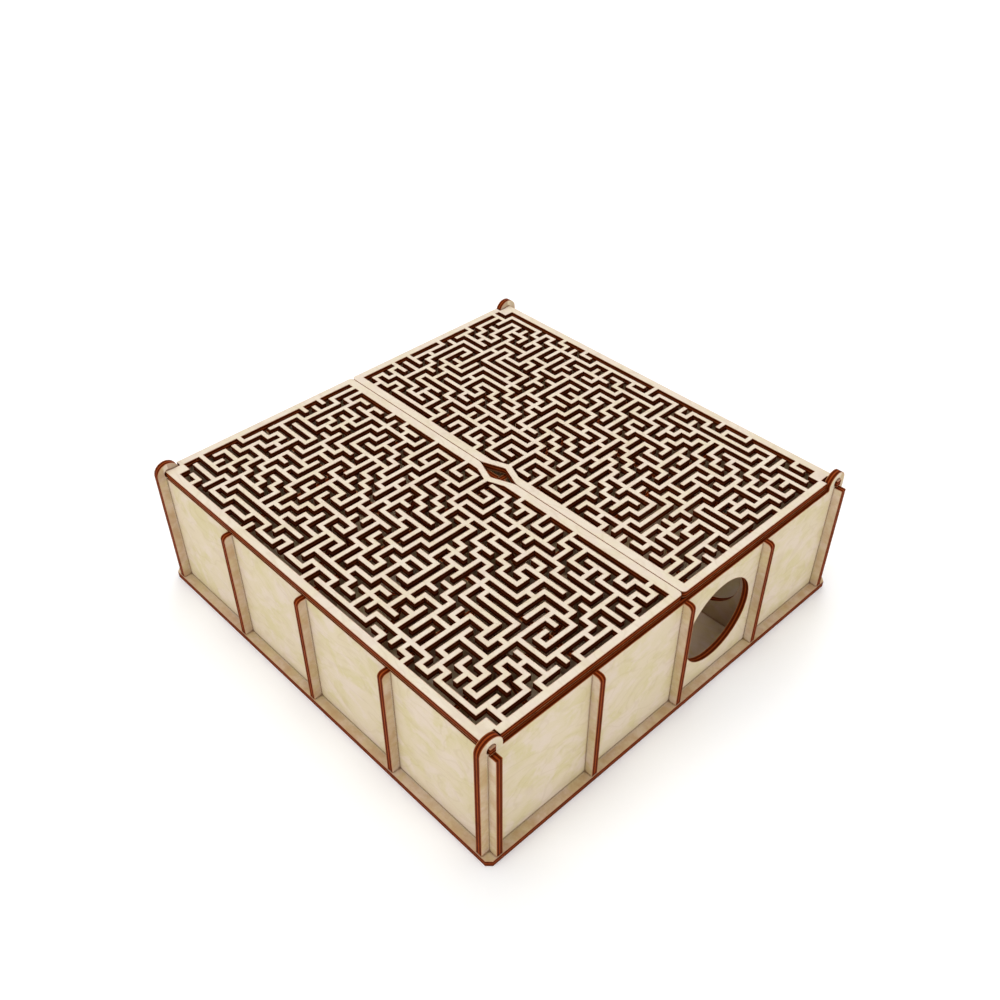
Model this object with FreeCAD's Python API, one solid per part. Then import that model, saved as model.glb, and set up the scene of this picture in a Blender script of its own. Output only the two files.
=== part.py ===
"""Flat-pack plywood maze box with two hinged fretwork lids.

Thirteen boards of one thickness make the whole box. Five boards run left to right (X) and five
run front to back (Y). They cross with half-depth slots, so they enclose 4 x 4 rooms, and every
board end stands out past the outer walls as a rib. The front and back walls rise into a round ear
at each end. The lids carry square tabs that turn in the holes of the ears.

Millimetres. +X right, +Y back, +Z up. Origin: centre of the base plate's underside.
"""
import FreeCAD, Part
import math
import os
import random

# Boards and rooms
PLY = 3.0                # thickness of every board
ROOMS = 4                # rooms along each side
ROOM_PITCH = 50.0        # distance between the middle planes of neighbouring boards
WALL_AT = ROOMS * ROOM_PITCH / 2          # middle plane of an outer wall
WALL_FACE = WALL_AT + PLY / 2             # outer face of an outer wall
RIB_REACH = 3.8          # how far a board's end stands out past the wall it crosses
RIB_CORNER = 2.0         # rounding of a rib's top corner
BASE_LEDGE = 4.2         # how far the base plate stands out past the walls
BASE_CORNER = 2.0        # cut-off corner of the base plate

# Heights above the table
REST_TOP = 58.8          # the three boards that the lids lie on
BOARD_TOP = 58.4         # all other boards, lower so that the lids can swing
LID_GAP = 0.3            # play between a closed lid and the boards it lies on
CROSSING = 31.0          # half height, where the slots of crossing boards meet
LID_BOTTOM = REST_TOP + LID_GAP
LID_TOP = LID_BOTTOM + PLY

# Doorways, and the tabs that hold the boards in the base plate
DOORWAY_RADIUS = 20.0
DOORWAY_HEIGHT = 31.0    # height of a doorway's centre
TAB_LENGTH = 12.0
TAB_PLACES = (-1.5 * ROOM_PITCH, 1.5 * ROOM_PITCH)

# Hinges
HINGE_HEIGHT = (LID_BOTTOM + LID_TOP) / 2
EAR_RADIUS = PLY / 2 + RIB_REACH          # the ear ends flush with the board's end
EAR_DROP = 0.5           # the ear's round is centred this far below the hinge line
EAR_FILLET = 0.6         # between the ear and the top of the wall
HINGE_HOLE_RADIUS = 2.1
PIN_WIDTH = 2.6          # the lid's square hinge tab, PLY thick
PIN_LENGTH = 5.4         # long enough to pass through the ear
EAR_CLEARANCE = 0.3      # between a lid's notch and the ear, measured along X

# Lids
LID_LENGTH = 201.0       # along Y, over the front and back walls
LID_BODY_LENGTH = 195.2  # along Y, between the ears
LID_SHIFT = 0.6          # the lids lie this far towards the back ears, within their play
SPLIT_GAP = 0.3          # between the two closed lids
SPLIT_CORNER = 2.0       # rounding of a lid's free corners
FINGER_HALF_LENGTH = 11.2                 # half of the finger opening, along Y
FINGER_HALF_WIDTH = 4.4                   # the same along X, before rounding
FINGER_CORNER = 2.0      # rounding of the opening's blunt corner
FINGER_TIP = 6.0         # rounding of the lid's edge where the opening starts
FINGER_BORDER = 2.9      # solid strip beside the finger opening

# Fretwork of a lid: a maze of slots with strips between them
MAZE_COLUMNS = 20
MAZE_ROWS = 40
COLUMN_PITCH = 4.78
ROW_PITCH = 4.91
STRIP = 2.05             # width of the wood between two slots
HINGE_BORDER = 3.5       # solid border beside the hinge line
MIDDLE_STRIP = 3         # columns crossed by the strip that braces the finger opening
MAZE_SEED = 1420
BRIDGE_FROM = 3          # slots of fewer cells than this are never bridged
BRIDGE_SPREAD = 150.0    # the larger, the longer the slots run before a bridge stops them
SMALLEST_SLOT = 1.5      # slot remnants below this area, in square mm, stay solid

# Rooms are counted 0 to 3 from the left or from the front. Each divider lists its doorways.
DOORWAYS_ACROSS_X = {"divider_y_left": (0, 2), "divider_y_middle": (1, 3),
                     "divider_y_right": (0, 2)}
DOORWAYS_ACROSS_Y = {"divider_x_front": (0, 1, 3), "divider_x_middle": (0, 2, 3),
                     "divider_x_back": (0, 1, 3)}
ENTRANCE_ROOM = 2

X = FreeCAD.Vector(1, 0, 0)
Y = FreeCAD.Vector(0, 1, 0)
Z = FreeCAD.Vector(0, 0, 1)
CENTRE = FreeCAD.Vector(0, 0, 0)


def board_places():
    """Middle planes of the five parallel boards, from the first wall to the last."""
    return [ROOM_PITCH * index - WALL_AT for index in range(ROOMS + 1)]


def room_centre(index):
    return ROOM_PITCH * (index + 0.5) - WALL_AT


def rounded_wire(corners):
    """Closed wire in the XY plane through (x, y, radius) corners, rounded where radius > 0."""
    edges = []
    joints = []
    count = len(corners)
    for index, (x, y, radius) in enumerate(corners):
        here = FreeCAD.Vector(x, y, 0)
        back = FreeCAD.Vector(*corners[index - 1][:2], 0) - here
        ahead = FreeCAD.Vector(*corners[(index + 1) % count][:2], 0) - here
        back.normalize()
        ahead.normalize()
        if radius <= 0:
            joints.append((here, here))
            continue
        half_angle = back.getAngle(ahead) / 2
        reach = radius / math.tan(half_angle)
        start = here + back * reach
        end = here + ahead * reach
        bisector = back + ahead
        bisector.normalize()
        middle = here + bisector * (radius / math.sin(half_angle) - radius)
        edges.append(Part.Arc(start, middle, end).toShape())
        joints.append((start, end))
    for index in range(count):
        leave = joints[index][1]
        arrive = joints[(index + 1) % count][0]
        if leave.distanceToPoint(arrive) > 1e-6:
            edges.append(Part.LineSegment(leave, arrive).toShape())
    return Part.Wire(Part.__sortEdges__(edges))


def plate(wires, bottom):
    """A board of one thickness lying flat, from its outline and the outlines of its holes."""
    face = Part.makeFace(wires, "Part::FaceMakerBullseye")
    face.translate(Z * bottom)
    return face.extrude(Z * PLY)


def stand_up(face_shape):
    """Turn a flat shape in the XY plane into an upright board whose middle plane is XZ."""
    upright = face_shape.extrude(Z * PLY)
    upright.rotate(CENTRE, X, 90)
    upright.translate(Y * (PLY / 2))
    return upright


# ---------------------------------------------------------------- upright boards

def plain_outline(top, corner):
    """Outline of a board with ribs at both ends, drawn flat: X along it, Y for its height."""
    end = WALL_FACE + RIB_REACH
    return rounded_wire([(-end, 0, 0), (end, 0, 0), (end, top, corner), (-end, top, corner)])


def ear_edges(side):
    """Edges over one ear, from the board's end round to the top of the wall."""
    ear = FreeCAD.Vector(side * WALL_AT, HINGE_HEIGHT - EAR_DROP, 0)
    rise = ear.y - BOARD_TOP - EAR_FILLET
    fillet_reach = math.sqrt((EAR_RADIUS + EAR_FILLET) ** 2 - rise ** 2)
    fillet = ear + FreeCAD.Vector(-side * fillet_reach, -rise, 0)
    to_ear = (ear - fillet).normalize()
    outer_end = ear + X * (side * EAR_RADIUS)
    crown = ear + Y * EAR_RADIUS
    meets_ear = fillet + to_ear * EAR_FILLET
    meets_wall = fillet - Y * EAR_FILLET
    halfway = fillet + (to_ear - Y).normalize() * EAR_FILLET
    return [Part.Arc(outer_end, crown, meets_ear).toShape(),
            Part.Arc(meets_ear, halfway, meets_wall).toShape()], outer_end, meets_wall


def eared_outline():
    """Outline of the front or back wall, whose ends rise into the hinge ears."""
    left, left_end, left_wall = ear_edges(-1)
    right, right_end, right_wall = ear_edges(1)
    foot_left = FreeCAD.Vector(-WALL_FACE - RIB_REACH, 0, 0)
    foot_right = FreeCAD.Vector(WALL_FACE + RIB_REACH, 0, 0)
    straight = [(foot_left, left_end), (left_wall, right_wall),
                (right_end, foot_right), (foot_right, foot_left)]
    edges = left + right + [Part.LineSegment(a, b).toShape() for a, b in straight]
    return Part.Wire(Part.__sortEdges__(edges))


def circle_wire(x, y, radius):
    return Part.Wire(Part.makeCircle(radius, FreeCAD.Vector(x, y, 0)))


def doorway_wires(rooms):
    return [circle_wire(room_centre(room), DOORWAY_HEIGHT, DOORWAY_RADIUS) for room in rooms]


def hinge_hole_wires():
    return [circle_wire(side * WALL_AT, HINGE_HEIGHT, HINGE_HOLE_RADIUS) for side in (-1, 1)]


def rectangle(x_low, x_high, y_low, y_high):
    """Flat face used to cut a slot."""
    return Part.makePlane(x_high - x_low, y_high - y_low, FreeCAD.Vector(x_low, y_low, 0))


def crossing_slots(low, high):
    """The five slots where the boards of the other direction cross this one."""
    return [rectangle(place - PLY / 2, place + PLY / 2, low, high) for place in board_places()]


def beside_tabs():
    """The strips along a board's foot that are cut away to leave only its base tabs."""
    end = WALL_FACE + RIB_REACH
    half = TAB_LENGTH / 2
    starts = [-end] + [place + half for place in TAB_PLACES]
    stops = [place - half for place in TAB_PLACES] + [end]
    return [rectangle(start, stop, 0, PLY) for start, stop in zip(starts, stops)]


def upright_board(outline, holes, slot_low, slot_high):
    """A board with its holes, crossing slots and base tabs, standing in the XZ plane."""
    face = Part.makeFace([outline] + holes, "Part::FaceMakerBullseye")
    face = face.cut(crossing_slots(slot_low, slot_high) + beside_tabs())
    return stand_up(face.Faces[0])


def x_board(outline, holes, place):
    """A board that runs left to right, slotted from below, at y = place."""
    board = upright_board(outline, holes, 0, CROSSING)
    board.translate(Y * place)
    return board


def y_board(outline, holes, place):
    """A board that runs front to back, slotted from above, at x = place."""
    board = upright_board(outline, holes, CROSSING, REST_TOP)
    board.rotate(CENTRE, Z, 90)
    board.translate(X * place)
    return board


def make_walls():
    entrance = doorway_wires([ENTRANCE_ROOM])
    return {
        "front_wall": x_board(eared_outline(), hinge_hole_wires() + entrance, -WALL_AT),
        "back_wall": x_board(eared_outline(), hinge_hole_wires(), WALL_AT),
        "left_wall": y_board(plain_outline(BOARD_TOP, 0), [], -WALL_AT),
        "right_wall": y_board(plain_outline(BOARD_TOP, 0), [], WALL_AT),
    }


def make_dividers():
    inner_places = board_places()[1:-1]
    dividers = {}
    for place, (name, rooms) in zip(inner_places, DOORWAYS_ACROSS_Y.items()):
        outline = plain_outline(BOARD_TOP, RIB_CORNER)
        dividers[name] = x_board(outline, doorway_wires(rooms), place)
    for place, (name, rooms) in zip(inner_places, DOORWAYS_ACROSS_X.items()):
        outline = plain_outline(REST_TOP, RIB_CORNER)
        dividers[name] = y_board(outline, doorway_wires(rooms), place)
    return dividers


def make_base():
    """Square plate with cut corners and a slot for each tab of the upright boards."""
    edge = WALL_FACE + BASE_LEDGE
    corner = edge - BASE_CORNER
    outline = rounded_wire([(corner, -edge, 0), (edge, -corner, 0), (edge, corner, 0),
                            (corner, edge, 0), (-corner, edge, 0), (-edge, corner, 0),
                            (-edge, -corner, 0), (-corner, -edge, 0)])
    half = TAB_LENGTH / 2
    slots = []
    for board in board_places():
        for place in TAB_PLACES:
            along_x = (place - half, place + half, board - PLY / 2, board + PLY / 2)
            along_y = along_x[2:] + along_x[:2]
            slots.append(rectangle(*along_x).OuterWire)
            slots.append(rectangle(*along_y).OuterWire)
    return plate([outline] + slots, 0)


# ---------------------------------------------------------------- fretwork lids

def maze_cells():
    """All cells of the fretwork but the two beside the hinge notches, which stay solid."""
    cells = {(column, row) for column in range(MAZE_COLUMNS) for row in range(MAZE_ROWS)}
    return cells - {(0, 0), (0, MAZE_ROWS - 1)}


def neighbours(cell):
    """The cells beside one cell, but never across the middle strip."""
    column, row = cell
    beside = [(column + 1, row), (column - 1, row), (column, row + 1), (column, row - 1)]
    if column >= MAZE_COLUMNS - MIDDLE_STRIP and row == MAZE_ROWS // 2 - 1:
        beside.remove((column, row + 1))
    if column >= MAZE_COLUMNS - MIDDLE_STRIP and row == MAZE_ROWS // 2:
        beside.remove((column, row - 1))
    return beside


def grow_maze(cells, chance):
    """Depth-first maze: every cell's parent, and the cells in the order they were reached."""
    start = (MAZE_COLUMNS // 2, MAZE_ROWS // 2)
    parent = {start: None}
    order = [start]
    trail = [start]
    while trail:
        fresh = [cell for cell in neighbours(trail[-1]) if cell in cells and cell not in parent]
        if not fresh:
            trail.pop()
            continue
        chosen = chance.choice(fresh)
        parent[chosen] = trail[-1]
        order.append(chosen)
        trail.append(chosen)
    return parent, order


def maze_slots():
    """Cut the maze into many short trees of cells, so that bridges of wood hold it together.

    Returns one set of fine squares per tree. A fine square (2c, 2r) is the cell in column c and
    row r, and the odd squares between are its passages to the cells beside it.
    """
    chance = random.Random(MAZE_SEED)
    parent, order = grow_maze(maze_cells(), chance)
    size = dict.fromkeys(order, 1)
    squares = {cell: {(2 * cell[0], 2 * cell[1])} for cell in order}
    trees = []
    for cell in reversed(order):
        onward = parent[cell]
        bridged = size[cell] >= BRIDGE_FROM and chance.random() < size[cell] / BRIDGE_SPREAD
        if onward is None or bridged:
            trees.append(squares[cell])
            continue
        size[onward] += size[cell]
        passage = (cell[0] + onward[0], cell[1] + onward[1])
        squares[onward] |= squares[cell] | {passage}
    return trees


def tree_outline(tree):
    """Corner points, in fine-square counts, round one tree of squares."""
    leads_to = {}
    for column, row in tree:
        ring = [(column, row), (column + 1, row), (column + 1, row + 1), (column, row + 1)]
        beside = [(column, row - 1), (column + 1, row), (column, row + 1), (column - 1, row)]
        for side in range(4):
            if beside[side] not in tree:
                leads_to[ring[side]] = ring[(side + 1) % 4]
    start = min(leads_to)
    walk = [start]
    while leads_to[walk[-1]] != start:
        walk.append(leads_to[walk[-1]])
    corners = []
    for index, here in enumerate(walk):
        before = walk[index - 1]
        after = walk[(index + 1) % len(walk)]
        if before[0] != after[0] and before[1] != after[1]:
            corners.append(here)
    return corners


def slot_face(tree, x_start, y_start):
    """Flat face of one slot of the fretwork."""
    def place(count, start, pitch):
        return start + (count // 2) * pitch + (count % 2) * (pitch - STRIP)
    points = [FreeCAD.Vector(place(column, x_start, COLUMN_PITCH),
                             place(row, y_start, ROW_PITCH), 0)
              for column, row in tree_outline(tree)]
    return Part.Face(Part.makePolygon(points + points[:1]))


def fretwork_wires():
    """Outlines of all slots, kept clear of the strip beside the finger opening."""
    maze_length = MAZE_ROWS * ROW_PITCH - STRIP
    slots = [slot_face(tree, -lid_width() / 2 + HINGE_BORDER, -maze_length / 2)
             for tree in maze_slots()]
    growth = 1 + FINGER_BORDER * math.hypot(1 / FINGER_HALF_WIDTH, 1 / FINGER_HALF_LENGTH)
    reach_x = FINGER_HALF_WIDTH * growth
    reach_y = FINGER_HALF_LENGTH * growth
    split = WALL_AT + PIN_WIDTH / 2 - lid_width() / 2
    border = Part.Face(rounded_wire([(split, -reach_y, 0), (split + reach_x, 0, 0),
                                     (split, reach_y, 0), (split - reach_x, 0, 0)]))
    wires = []
    for slot in slots:
        pieces = [slot]
        if slot.BoundBox.intersect(border.BoundBox):
            pieces = slot.cut(border).Faces
        wires += [piece.OuterWire for piece in pieces if piece.Area > SMALLEST_SLOT]
    return wires


def lid_width():
    """Size of a lid along X, from its hinge edge to the split."""
    return WALL_AT + PIN_WIDTH / 2 - SPLIT_GAP / 2


def lid_outline():
    """Outline of a lid about its own centre, with the hinge edge on the -X side."""
    hinge = -lid_width() / 2
    free = lid_width() / 2
    notch = hinge + PIN_WIDTH / 2 + EAR_RADIUS + EAR_CLEARANCE
    end = LID_LENGTH / 2
    body = LID_BODY_LENGTH / 2
    pin = body + PIN_LENGTH
    blunt = free + SPLIT_GAP / 2 - FINGER_HALF_WIDTH
    tip = FINGER_HALF_LENGTH * (1 - SPLIT_GAP / 2 / FINGER_HALF_WIDTH)
    return rounded_wire([
        (hinge, -pin, 0), (hinge + PIN_WIDTH, -pin, 0), (hinge + PIN_WIDTH, -body, 0),
        (notch, -body, 0), (notch, -end, 0), (free, -end, SPLIT_CORNER),
        (free, -tip, FINGER_TIP), (blunt, 0, FINGER_CORNER), (free, tip, FINGER_TIP),
        (free, end, SPLIT_CORNER), (notch, end, 0), (notch, body, 0),
        (hinge + PIN_WIDTH, body, 0), (hinge + PIN_WIDTH, pin, 0), (hinge, pin, 0)])


def make_doors():
    """The two lids are the same board, one of them turned half round."""
    lid = plate([lid_outline()] + fretwork_wires(), LID_BOTTOM)
    from_middle = (SPLIT_GAP + lid_width()) / 2
    left = lid.copy()
    left.translate(FreeCAD.Vector(-from_middle, LID_SHIFT, 0))
    right = lid.copy()
    right.rotate(CENTRE, Z, 180)
    right.translate(FreeCAD.Vector(from_middle, LID_SHIFT, 0))
    return {"left_door": left, "right_door": right}


def main():
    os.makedirs("parts", exist_ok=True)
    pieces = {"base_plate": make_base()}
    pieces.update(make_walls())
    pieces.update(make_dividers())
    pieces.update(make_doors())
    for name, shape in pieces.items():
        solid = shape.Solids[0]
        assert len(shape.Solids) == 1 and solid.isValid(), name
        solid.exportStep("parts/" + name + ".step")
        box = solid.BoundBox
        print(f"{name:18s} {solid.Volume:10.1f} mm3  faces {len(solid.Faces):5d}  "
              f"{box.XLength:.1f} x {box.YLength:.1f} x {box.ZLength:.1f}")


main()
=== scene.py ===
"""Looks for the plywood maze box: birch faces, scorched laser-cut edges, soft studio light."""

import math
from collections import namedtuple

import bpy
from mathutils import Matrix, Vector


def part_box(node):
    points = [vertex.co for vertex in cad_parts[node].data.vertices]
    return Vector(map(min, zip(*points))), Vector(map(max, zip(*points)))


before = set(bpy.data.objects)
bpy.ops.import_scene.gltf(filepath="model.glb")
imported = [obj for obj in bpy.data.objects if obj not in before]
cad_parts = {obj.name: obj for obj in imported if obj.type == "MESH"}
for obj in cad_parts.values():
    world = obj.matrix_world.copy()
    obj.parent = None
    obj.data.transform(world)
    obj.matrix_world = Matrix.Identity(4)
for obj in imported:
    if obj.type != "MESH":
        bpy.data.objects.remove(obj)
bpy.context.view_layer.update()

# ---------------------------------------------------------------- boards

MM = 0.001                      # one millimetre in Blender's metres
PLY = 3.0                       # thickness of every board, mm
LIDS = ("left_door", "right_door")
# Axis that the grain runs along, by the axis of the board's thickness: 0 is X, 1 is Y, 2 is Z
GRAIN_AXIS = {0: 1, 1: 0, 2: 1}

# Distances from the middle of the box, mm
WALLS_REACH = 101.5             # outer faces of the four walls
OUTSIDE_STARTS = (0.1, 1.0)     # the darkening outside, smoke and painted shade, fades in this far beyond them
SLOTS_REACH = 97.0              # the maze slots end inside this
FINGER_REACH = 5.0              # half the width of the finger opening, and a little more
PINS_FROM = 98.3                # beyond this in both X and Y, a lid has only its hinge pins

# ---------------------------------------------------------------- colours (0 to 255)

BIRCH = (218, 203, 176)         # faces of the base, the walls and the dividers
BIRCH_LID = (226, 213, 194)     # faces of the lids
BIRCH_GREEN = (210, 197, 153)   # clouds on the faces
BIRCH_PINK = (222, 206, 190)
BIRCH_LINE = (184, 160, 120)    # grain, flecks and contour lines
PLY_CORE = (150, 66, 26)        # plies of a cut edge, from the middle out
GLUE = (74, 20, 0)
PLY_FACE = (106, 37, 4)
SINGED = (152, 90, 50)          # also the hinge pins' faces
RIM = (190, 140, 100)
CHAR_AND_SHADE = (46, 12, 0)              # soot on the cut edges; also their painted contact shade where two boards meet
SCORCH = (196, 140, 108)        # halo on a face along its cut edges
TOASTED_AND_SHADED = (180, 142, 102)       # smoke and painted shade on what lies outside the walls: the ledges of the base, dark in their corner, and the ribs
INSIDE_SHADE = (142, 98, 62)          # painted shade on the boards inside the box, where little light reaches
CREVICE_SHADE_AND_SMOKE = (88, 48, 20)          # painted contact shade, with some smoke, where two boards meet

# ---------------------------------------------------------------- features of the wood

# A noise pattern: its length along the grain, width across it and depth through the board, in
# mm, then how broken up it is. It shows where the noise lies above low, fully above high, and
# covers the given share of the colour beneath.
Feature = namedtuple("Feature", "size detail roughness distortion low high share")

# On faces
GREEN_ON_LIDS = Feature((17, 15, 300), 4.0, 0.62, 0.5, 0.42, 0.62, 0.3)
GREEN_ON_BOX = GREEN_ON_LIDS._replace(share=0.8)
PINK = Feature((11, 10, 240), 4.0, 0.62, 0.5, 0.47, 0.62, 0.75)
GRAIN = Feature((7.0, 0.30, 50), 3.0, 0.60, 0.0, 0.45, 0.75, 0.09)
FLECKS = Feature((1.5, 0.26, 50), 2.0, 0.50, 0.0, 0.66, 0.76, 0.22)
SMOKE = Feature((9, 7, 60), 4.0, 0.65, 0.0, 0.30, 0.70, 0.45)
# On cut edges
STRIATIONS = Feature((0.35, 0.35, 6.0), 2.0, 0.60, 0.0, 0.42, 0.66, 0.22)
SOOT = Feature((11, 11, 3), 3.0, 0.60, 0.0, 0.45, 0.70, 0.22)

# Contour lines of the rotary-cut veneer, drawn where a slow noise passes evenly spaced values
RINGS_SIZE = (36, 19, 300)      # mm, as above
RINGS_DISTORTION = 0.6
RING_COUNT = 9.0                # lines over the noise's whole range
RING_EDGES = (0.02, 0.16)       # a line is full inside the first and gone beyond the second
RING_SHARE = 0.14

# Plies of a cut edge, from the middle of the thickness (0) to the face (1)
PLIES = [(0.0, PLY_CORE), (0.12, PLY_CORE), (0.32, GLUE), (0.48, GLUE),
         (0.62, PLY_FACE), (0.76, PLY_FACE), (0.88, SINGED), (0.98, RIM)]
PLY_WAVES_SIZE = (14, 14, 400)  # mm, waves in the glue lines
PLY_WAVES = 0.12                # how far they move, as a part of half the thickness

# Marks of the laser and of smoke, and painted shade
HALO_WIDTH = 0.9                # mm, scorched band on a face along every cut edge
HALO_FULL = 0.30                # how far the softened normal turns where the band is darkest
HALO_SHARE = 0.75
CREVICE_WIDTH = 1.2             # mm, painted contact shade with some smoke: dark line where two boards meet
CREVICE_EDGES = (0.22, 0.48)    # the line starts and is full where this much light is blocked
CREVICE_ON_FACES = 0.7
CREVICE_ON_EDGES = 0.6
SLOT_CHAR = 0.5                 # the walls of the maze slots are this much darker
PIN_BROWN = 0.7                 # the faces of the hinge pins are this much browned
INSIDE_SHADE_SHARE = 0.45             # painted shade: the boards inside the box are darkened this much
# Least darkening outside the walls, by the axis of the thickness, partly smoke and partly
# painted shade: less on the faces that look along X, towards the left light; SMOKE adds to it
SMOKE_AND_SHADE_BY_AXIS = {0: 0.12, 1: 0.28, 2: 0.28}

# Surface
SHINE = 0.02                    # specular level of the bare wood
ROUGHNESS = 0.50
ROUGHNESS_OF_GRAIN = 0.16       # added where the grain is strongest
RELIEF_DEPTH = 0.06             # mm, of the grain and the striations
RELIEF_STRENGTH = 0.35
SAMPLES = 6                     # rays for the halo and for the crevices

# Each board is cut from a place of its own in the wood: steps along and across the grain, mm
GRAIN_STEP = (331.7, 173.3)

# ---------------------------------------------------------------- studio, lengths in metres

FLOOR_REACH = 4.0
FLOOR_WHITE = 0.94
FLOOR_ROUGHNESS = 0.9
FLOOR_GLOW = 0.12               # at the box, so that its shadow stays soft
FLOOR_GLOW_FAR = 0.8            # added far from it, so that the floor stays white
FLOOR_FADE = (0.5, 2.0)         # where the far glow starts and is full

HORIZON_GLOW = 1.0
SKY_GLOW = 0.25
SKY_FADE = (0.28, 0.45)         # height of the view, 0 level to 1 straight up, between the two

# Square soft lights: name, place, side in metres, power in watts
LIGHTS = [
    ("overhead", (0, 0.15, 1.6), 1.2, 12.5),
    ("left", (-1.5, 0.1, 1.2), 1.2, 8.2),
    ("front", (-0.2, -2.0, 1.3), 1.4, 10.4),
    ("right", (1.1, 0.8, 1.0), 1.0, 8.0),
]
LIGHT_TARGET = (0, 0, 0.03)     # about the middle of the box

CAMERA_PLACE = (-0.24456, -0.25796, 0.34165)
CAMERA_AZIMUTH = 43.74          # degrees the view is turned from +Y towards +X
CAMERA_TILT = 41.55             # degrees the view looks down
SENSOR_WIDTH = 36.0             # mm
CAMERA_LENS = 38.416            # mm
CAMERA_SHIFT = (-0.0028, 0.0361)
CLIP_START = 0.01
CLIP_END = 30.0

WHITE = (1.0, 1.0, 1.0, 1.0)


def linear(colour):
    """Colour from 0 to 255 as Blender's linear RGBA."""
    def channel(value):
        value /= 255
        return value / 12.92 if value <= 0.04045 else ((value + 0.055) / 1.055) ** 2.4
    return tuple(channel(value) for value in colour) + (1.0,)


# ---------------------------------------------------------------- node helpers

class Nodes:
    """Short calls for building one material's node tree."""

    # A mix node's two inputs and its output, by their places in its lists
    MIX_SOCKETS = {"RGBA": (6, 7, 2), "FLOAT": (2, 3, 0)}

    def __init__(self, name):
        self.material = bpy.data.materials.new(name)
        self.material.use_nodes = True
        self.tree = self.material.node_tree
        self.tree.nodes.clear()

    def node(self, kind, **settings):
        made = self.tree.nodes.new(kind)
        for key, value in settings.items():
            setattr(made, key, value)
        return made

    def feed(self, socket, value):
        """Link a socket to another node's output, or give it a fixed value."""
        if isinstance(value, bpy.types.NodeSocket):
            self.tree.links.new(value, socket)
        else:
            socket.default_value = value

    def math(self, operation, *values):
        made = self.node("ShaderNodeMath", operation=operation)
        for socket, value in zip(made.inputs, values):
            self.feed(socket, value)
        return made.outputs[0]

    def vector(self, operation, *values):
        made = self.node("ShaderNodeVectorMath", operation=operation)
        for socket, value in zip(made.inputs, values):
            self.feed(socket, value)
        single = operation in ("DOT_PRODUCT", "LENGTH")
        return made.outputs["Value" if single else "Vector"]

    def mix(self, factor, first, second, kind="RGBA"):
        """The first colour or number where the factor is 0, the second where it is 1."""
        made = self.node("ShaderNodeMix", data_type=kind)
        first_place, second_place, result = self.MIX_SOCKETS[kind]
        self.feed(made.inputs["Factor"], factor)
        self.feed(made.inputs[first_place], first)
        self.feed(made.inputs[second_place], second)
        return made.outputs[result]

    def step(self, value, low, high):
        """0 below low, 1 above high, smooth between."""
        made = self.node("ShaderNodeMapRange", interpolation_type="SMOOTHSTEP")
        for socket, given in zip(made.inputs, (value, low, high, 0.0, 1.0)):
            self.feed(socket, given)
        return made.outputs[0]

    def noise(self, place, size, detail=2.0, roughness=0.5, distortion=0.0):
        """Noise stretched to a size in the units of the place."""
        made = self.node("ShaderNodeTexNoise")
        stretched = self.vector("MULTIPLY", place, tuple(1 / length for length in size))
        self.feed(made.inputs["Vector"], stretched)
        self.feed(made.inputs["Scale"], 1.0)
        self.feed(made.inputs["Detail"], detail)
        self.feed(made.inputs["Roughness"], roughness)
        self.feed(made.inputs["Distortion"], distortion)
        return made.outputs["Fac"]

    def ramp(self, factor, stops):
        made = self.node("ShaderNodeValToRGB")
        elements = made.color_ramp.elements
        while len(elements) < len(stops):
            elements.new(0.5)
        for element, (place, colour) in zip(elements, stops):
            element.position = place
            element.color = linear(colour)
        self.feed(made.inputs["Fac"], factor)
        return made.outputs["Color"]

    def finish(self, shader):
        """Send a shader to the material's surface."""
        output = self.node("ShaderNodeOutputMaterial")
        self.feed(output.inputs["Surface"], shader.outputs[0])
        return self.material


# ---------------------------------------------------------------- places on a board

def thickness_axis(low, high):
    """The axis along which a board is thinnest."""
    return min(range(3), key=lambda axis: high[axis] - low[axis])


def millimetres(n):
    """The X, Y and Z of a point of the object, in millimetres."""
    place = n.node("ShaderNodeTexCoord").outputs["Object"]
    split = n.node("ShaderNodeSeparateXYZ")
    n.feed(split.inputs[0], n.vector("MULTIPLY", place, (1 / MM, 1 / MM, 1 / MM)))
    return split.outputs


def board_coordinates(n, axis, middle, board_number):
    """Place in board millimetres: x along the grain, y across it, z through the thickness."""
    point = millimetres(n)
    along = GRAIN_AXIS[axis]
    across = 3 - axis - along
    depth = n.math("SUBTRACT", point[axis], middle)
    joined = n.node("ShaderNodeCombineXYZ")
    n.feed(joined.inputs[0], n.math("ADD", point[along], board_number * GRAIN_STEP[0]))
    n.feed(joined.inputs[1], n.math("ADD", point[across], board_number * GRAIN_STEP[1]))
    n.feed(joined.inputs[2], depth)
    return joined.outputs[0], depth


def reach_from_middle(n):
    """How far a point lies from the box's middle in X and in Y, in mm."""
    point = millimetres(n)
    return n.math("ABSOLUTE", point[0]), n.math("ABSOLUTE", point[1])


def near_cut_edge(n):
    """1 at a cut edge, falling to 0 at the halo's width from it."""
    bevel = n.node("ShaderNodeBevel", samples=SAMPLES)
    bevel.inputs["Radius"].default_value = HALO_WIDTH * MM
    normal = n.node("ShaderNodeNewGeometry").outputs["Normal"]
    alike = n.vector("DOT_PRODUCT", bevel.outputs["Normal"], normal)
    return n.step(n.math("SUBTRACT", 1.0, alike), 0.0, HALO_FULL)


def in_crevice(n):
    """Where painted contact shade goes: 1 in the corner where two boards meet, 0 beyond the
    crevice's width from it.
    """
    shade = n.node("ShaderNodeAmbientOcclusion", samples=SAMPLES)
    shade.inputs["Distance"].default_value = CREVICE_WIDTH * MM
    return n.step(n.math("SUBTRACT", 1.0, shade.outputs["AO"]), *CREVICE_EDGES)


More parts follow.
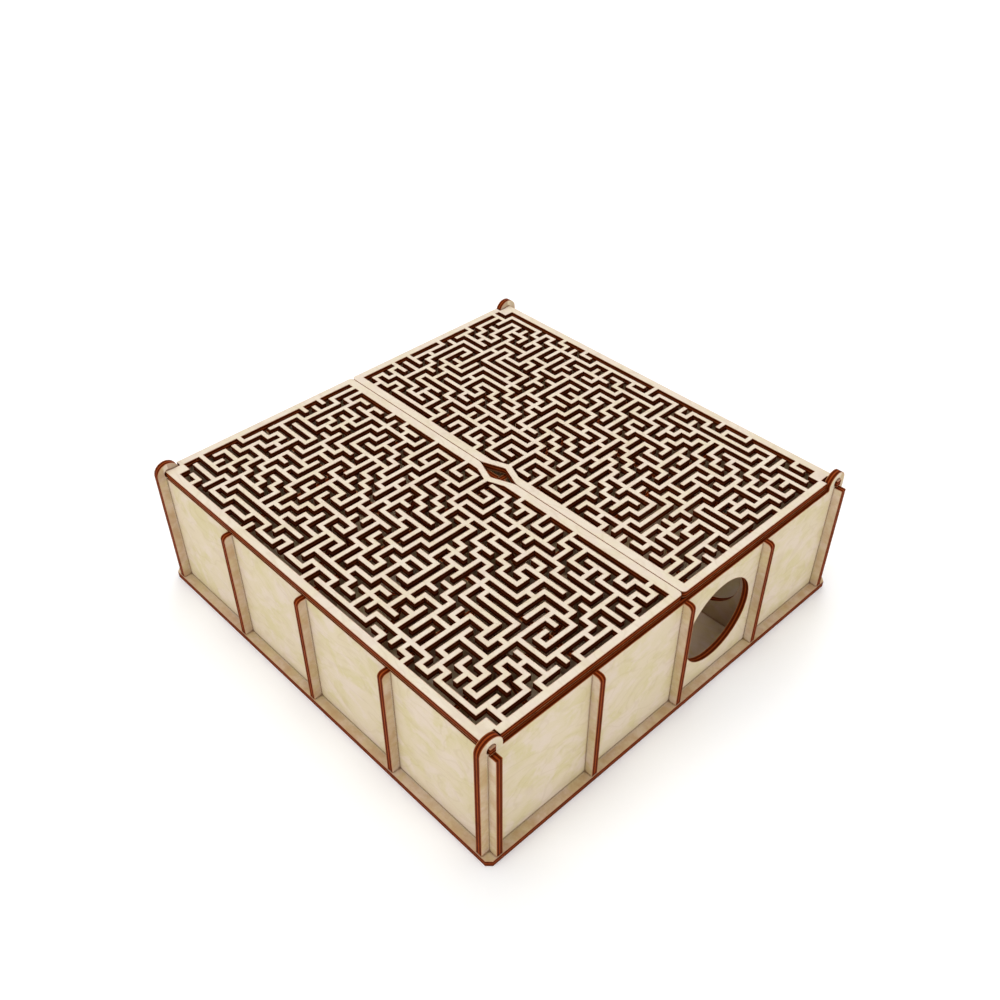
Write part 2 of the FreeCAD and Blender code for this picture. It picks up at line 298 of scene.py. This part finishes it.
def on_face(n, axis):
    """1 on a board's two faces, which look along its thickness, and 0 on its cut edges."""
    local_normal = n.node("ShaderNodeTexCoord").outputs["Normal"]
    thickness = [1.0 if i == axis else 0.0 for i in range(3)]
    facing = n.vector("DOT_PRODUCT", local_normal, thickness)
    return n.math("GREATER_THAN", n.math("ABSOLUTE", facing), 0.5)


# ---------------------------------------------------------------- plywood

def pattern(n, place, feature):
    """A feature's noise."""
    return n.noise(place, feature.size, feature.detail, feature.roughness, feature.distortion)


def cover(n, noise, feature):
    """How much of the colour beneath a feature covers."""
    return n.math("MULTIPLY", n.step(noise, feature.low, feature.high), feature.share)


def contour_lines(n, place):
    """1 on the contour lines of the veneer, 0 between them."""
    rings = n.noise(place, RINGS_SIZE, distortion=RINGS_DISTORTION)
    phase = n.math("FRACT", n.math("MULTIPLY", rings, RING_COUNT))
    from_line = n.math("ABSOLUTE", n.math("SUBTRACT", phase, 0.5))
    return n.math("SUBTRACT", 1.0, n.step(from_line, *RING_EDGES))


def face_colour(n, place, birch, green):
    """Rotary-cut birch: pale, with soft clouds, faint contour lines, fine grain and flecks."""
    grain = pattern(n, place, GRAIN)
    colour = n.mix(cover(n, pattern(n, place, green), green), linear(birch), linear(BIRCH_GREEN))
    colour = n.mix(cover(n, pattern(n, place, PINK), PINK), colour, linear(BIRCH_PINK))
    lines = n.math("MULTIPLY", contour_lines(n, place), RING_SHARE)
    for share in (lines, cover(n, grain, GRAIN), cover(n, pattern(n, place, FLECKS), FLECKS)):
        colour = n.mix(share, colour, linear(BIRCH_LINE))
    return colour, grain


def edge_colour(n, place, depth):
    """A laser-cut edge: two face veneers, a core, dark glue lines and singed rims."""
    waves = n.math("SUBTRACT", n.noise(place, PLY_WAVES_SIZE), 0.5)
    from_middle = n.math("DIVIDE", n.math("ABSOLUTE", depth), PLY / 2)
    plies = n.ramp(n.math("ADD", from_middle, n.math("MULTIPLY", waves, PLY_WAVES)), PLIES)
    striations = pattern(n, place, STRIATIONS)
    soot = n.math("ADD", cover(n, striations, STRIATIONS),
                  cover(n, pattern(n, place, SOOT), SOOT))
    return n.mix(soot, plies, linear(CHAR_AND_SHADE)), striations


def mark_lid(n, face, edge):
    """Dark walls in the maze slots, and browned hinge pins."""
    sideways, lengthways = reach_from_middle(n)
    reach = n.math("MAXIMUM", sideways, lengthways)
    slot = n.math("MULTIPLY", n.math("LESS_THAN", reach, SLOTS_REACH),
                  n.math("GREATER_THAN", sideways, FINGER_REACH))
    pin = n.math("GREATER_THAN", n.math("MINIMUM", sideways, lengthways), PINS_FROM)
    edge = n.mix(n.math("MULTIPLY", slot, SLOT_CHAR), edge, linear(CHAR_AND_SHADE))
    face = n.mix(n.math("MULTIPLY", pin, PIN_BROWN), face, linear(SINGED))
    return face, edge


def mark_box(n, face, place, axis, crevice):
    """Smoke and painted shade on the parts outside the walls, painted shade on the boards
    inside, and painted contact shade with some smoke where boards meet.
    """
    reach = n.math("MAXIMUM", *reach_from_middle(n))
    outside = n.step(reach, *(WALLS_REACH + beyond for beyond in OUTSIDE_STARTS))
    inside = n.math("LESS_THAN", reach, WALLS_REACH - PLY / 2)
    # Smoke and painted shade outside the walls: the faces that look along X, lit by the left
    # light, are darkened less
    smoke_and_shade = n.math("ADD", SMOKE_AND_SHADE_BY_AXIS[axis], cover(n, pattern(n, place, SMOKE), SMOKE))
    face = n.mix(n.math("MULTIPLY", outside, smoke_and_shade), face, linear(TOASTED_AND_SHADED))
    # Painted shade on the boards inside the box
    face = n.mix(n.math("MULTIPLY", inside, INSIDE_SHADE_SHARE), face, linear(INSIDE_SHADE))
    # Painted contact shade, with some smoke, where two boards meet
    return n.mix(n.math("MULTIPLY", crevice, CREVICE_ON_FACES), face, linear(CREVICE_SHADE_AND_SMOKE))


def plywood(node_name, board_number):
    """One board's material: birch on its faces, plies on its cut edges, and the marks."""
    on_lid = node_name in LIDS
    low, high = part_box(node_name)
    axis = thickness_axis(low, high)
    middle = (low[axis] + high[axis]) / 2 / MM
    n = Nodes("plywood_" + node_name)
    place, depth = board_coordinates(n, axis, middle, board_number)
    birch, green = (BIRCH_LID, GREEN_ON_LIDS) if on_lid else (BIRCH, GREEN_ON_BOX)
    face, grain = face_colour(n, place, birch, green)
    edge, striations = edge_colour(n, place, depth)

    # Painted contact shade where boards meet: it darkens the cut edges toward char here, and the
    # faces of the box's boards in mark_box
    crevice = in_crevice(n)
    edge = n.mix(n.math("MULTIPLY", crevice, CREVICE_ON_EDGES), edge, linear(CHAR_AND_SHADE))
    if on_lid:
        face, edge = mark_lid(n, face, edge)
    else:
        face = mark_box(n, face, place, axis, crevice)
    face = n.mix(n.math("MULTIPLY", near_cut_edge(n), HALO_SHARE), face, linear(SCORCH))

    is_face = on_face(n, axis)
    relief = n.node("ShaderNodeBump")
    relief.inputs["Strength"].default_value = RELIEF_STRENGTH
    relief.inputs["Distance"].default_value = RELIEF_DEPTH * MM
    n.feed(relief.inputs["Height"], n.mix(is_face, striations, grain, kind="FLOAT"))
    shader = n.node("ShaderNodeBsdfPrincipled")
    shader.inputs["Specular IOR Level"].default_value = SHINE
    n.feed(shader.inputs["Base Color"], n.mix(is_face, edge, face))
    rough = n.math("ADD", n.math("MULTIPLY", grain, ROUGHNESS_OF_GRAIN), ROUGHNESS)
    n.feed(shader.inputs["Roughness"], rough)
    n.feed(shader.inputs["Normal"], relief.outputs["Normal"])
    return n.finish(shader)


def dress_boards():
    """Give every board plywood of its own."""
    for number, (name, board) in enumerate(sorted(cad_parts.items()), start=1):
        board.data.materials.clear()
        board.data.materials.append(plywood(name, number))


# ---------------------------------------------------------------- studio

def make_floor():
    """A plain pale floor that glows softly far from the box, so it stays white all over."""
    mesh = bpy.data.meshes.new("studio_floor")
    corners = [(x * FLOOR_REACH, y * FLOOR_REACH, 0)
               for x, y in ((-1, -1), (1, -1), (1, 1), (-1, 1))]
    mesh.from_pydata(corners, [], [(0, 1, 2, 3)])
    floor = bpy.data.objects.new("studio_floor", mesh)
    bpy.context.scene.collection.objects.link(floor)
    n = Nodes("studio_floor")
    shader = n.node("ShaderNodeBsdfPrincipled")
    shader.inputs["Base Color"].default_value = (FLOOR_WHITE, FLOOR_WHITE, FLOOR_WHITE, 1)
    shader.inputs["Roughness"].default_value = FLOOR_ROUGHNESS
    shader.inputs["Specular IOR Level"].default_value = 0.0
    shader.inputs["Emission Color"].default_value = WHITE
    away = n.vector("LENGTH", n.node("ShaderNodeTexCoord").outputs["Object"])
    far_glow = n.math("MULTIPLY", n.step(away, *FLOOR_FADE), FLOOR_GLOW_FAR)
    n.feed(shader.inputs["Emission Strength"], n.math("ADD", FLOOR_GLOW, far_glow))
    mesh.materials.append(n.finish(shader))


def make_world():
    """A room that is white all round the horizon and dimmer overhead."""
    world = bpy.data.worlds.new("studio")
    bpy.context.scene.world = world
    world.use_nodes = True
    tree = world.node_tree
    direction = tree.nodes.new("ShaderNodeTexCoord")
    split = tree.nodes.new("ShaderNodeSeparateXYZ")
    fade = tree.nodes.new("ShaderNodeMapRange")
    for socket, value in zip(fade.inputs[1:5], (*SKY_FADE, HORIZON_GLOW, SKY_GLOW)):
        socket.default_value = value
    background = tree.nodes["Background"]
    background.inputs["Color"].default_value = WHITE
    tree.links.new(direction.outputs["Generated"], split.inputs[0])
    tree.links.new(split.outputs["Z"], fade.inputs["Value"])
    tree.links.new(fade.outputs["Result"], background.inputs["Strength"])


def area_light(name, place, size, watts):
    """A square soft light, aimed at the box."""
    data = bpy.data.lights.new(name, "AREA")
    data.shape = "SQUARE"
    data.size = size
    data.energy = watts
    light = bpy.data.objects.new(name, data)
    light.location = place
    aim = Vector(LIGHT_TARGET) - Vector(place)
    light.rotation_euler = aim.to_track_quat("-Z", "Y").to_euler()
    bpy.context.scene.collection.objects.link(light)


def make_camera():
    """The view from the front left, above the box."""
    data = bpy.data.cameras.new("camera")
    data.sensor_width = SENSOR_WIDTH
    data.lens = CAMERA_LENS
    data.shift_x, data.shift_y = CAMERA_SHIFT
    data.clip_start = CLIP_START
    data.clip_end = CLIP_END
    camera = bpy.data.objects.new("camera", data)
    turn = Matrix.Rotation(math.radians(-CAMERA_AZIMUTH), 4, "Z")
    tilt = Matrix.Rotation(math.radians(90 - CAMERA_TILT), 4, "X")
    camera.matrix_world = Matrix.Translation(CAMERA_PLACE) @ turn @ tilt
    bpy.context.scene.collection.objects.link(camera)
    bpy.context.scene.camera = camera


# ---------------------------------------------------------------- scene

dress_boards()
make_floor()
make_world()
for light in LIGHTS:
    area_light(*light)
make_camera()
bpy.context.scene.view_settings.view_transform = "Standard"
